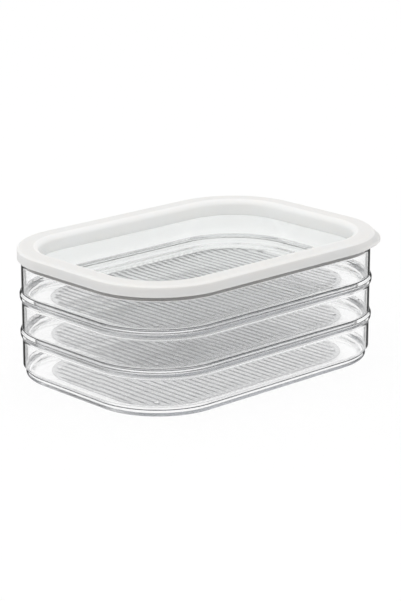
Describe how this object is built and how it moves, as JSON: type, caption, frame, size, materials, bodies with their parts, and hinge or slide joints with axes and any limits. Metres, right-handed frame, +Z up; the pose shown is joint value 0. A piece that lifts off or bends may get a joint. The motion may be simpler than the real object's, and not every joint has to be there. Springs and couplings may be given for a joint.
{
  "type": "stacking storage box",
  "caption": "Low storage box of shallow clear trays with ribbed floors that nest one on another, closed by a snap lid with a sunk clear window and a thumb tab.",
  "frame": {"origin": "middle of the flat face under the bottom tray, on the surface that the stack stands on", "axes": "+X along the long side, +Z up; the lid's thumb tab is on the corner at +X, -Y"},
  "size_m": [0.228, 0.164, 0.0861],
  "materials": {
    "tray_plastic": "clear, polished",
    "lid_plastic": "soft satin, slightly translucent",
    "window_plastic": "clear, polished"
  },
  "bodies": {
    "tray_bottom": {"tray_bottom": "tray_plastic"},
    "tray_middle": {"tray_middle": "tray_plastic"},
    "tray_top": {"tray_top": "tray_plastic"},
    "lid": {"lid_frame": "lid_plastic", "lid_window": "window_plastic"}
  },
  "joints": [
    {"name": "middle_tray_lift", "type": "slide", "parent": "tray_bottom", "child": "tray_middle", "axis": [0, 0, 1], "range_m": [0, 0.06]},
    {"name": "top_tray_lift", "type": "slide", "parent": "tray_middle", "child": "tray_top", "axis": [0, 0, 1], "range_m": [0, 0.06]},
    {"name": "lid_lift", "type": "slide", "parent": "tray_top", "child": "lid", "axis": [0, 0, 1], "range_m": [0, 0.06]}
  ]
}
